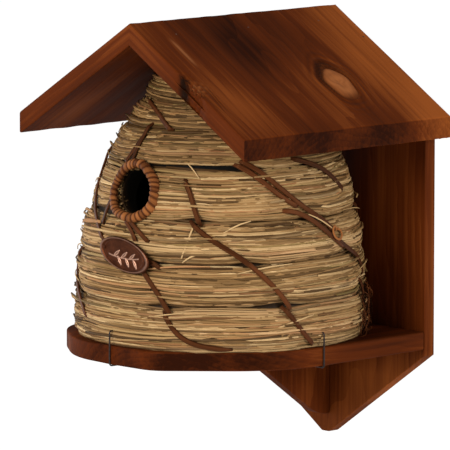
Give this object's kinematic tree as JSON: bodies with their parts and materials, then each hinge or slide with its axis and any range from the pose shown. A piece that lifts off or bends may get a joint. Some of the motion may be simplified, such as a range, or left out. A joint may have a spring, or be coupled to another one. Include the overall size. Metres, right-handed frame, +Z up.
{
  "type": "hanging nest box",
  "caption": "Straw hive nest box with a round mouth, standing on the shelf of a stained wooden wall bracket under a gable roof.",
  "frame": {"origin": "centre of the keyhole plate's round hole, in the plane of the wall face of the back board", "axes": "+X to the object's right as seen from the front, -Y out of the front away from the wall, +Z up"},
  "size_m": [0.25, 0.2322, 0.3354],
  "materials": {
    "stained_wood": "reddish brown stain, satin",
    "straw": "dry straw, matte",
    "rattan": "dark brown split rattan, slight sheen",
    "ring_rattan": "orange brown rattan, slight sheen",
    "tag_metal": "antique copper lacquer",
    "dark_wire": "dark annealed wire",
    "zinc_steel": "bright zinc plate"
  },
  "bodies": {
    "root": {"back_board": "stained_wood", "shelf_board": "stained_wood", "bracket_gusset": "stained_wood", "roof_board_left": "stained_wood", "roof_board_right": "stained_wood", "hanger_plate": "zinc_steel", "hanger_plate_screws": "zinc_steel", "shelf_screws": "zinc_steel", "gusset_screws": "zinc_steel", "roof_nails": "zinc_steel", "ridge_brads": "zinc_steel", "straw_course_1": "straw", "straw_course_2": "straw", "straw_course_3": "straw", "straw_course_4": "straw", "straw_course_5": "straw", "straw_course_6": "straw", "straw_course_7": "straw", "rattan_stitches_1": "rattan", "rattan_stitches_2": "rattan", "rattan_stitches_3": "rattan", "rattan_stitches_4": "rattan", "rattan_stitches_5": "rattan", "rattan_stitches_6": "rattan", "mouth_ring_core": "ring_rattan", "mouth_ring_wrap": "ring_rattan", "mouth_ring_strips": "rattan", "tag_plate": "tag_metal", "tag_pins": "tag_metal", "wire_tie_front": "dark_wire", "wire_tie_right": "dark_wire", "wire_tie_left": "dark_wire"}
  },
  "joints": []
}
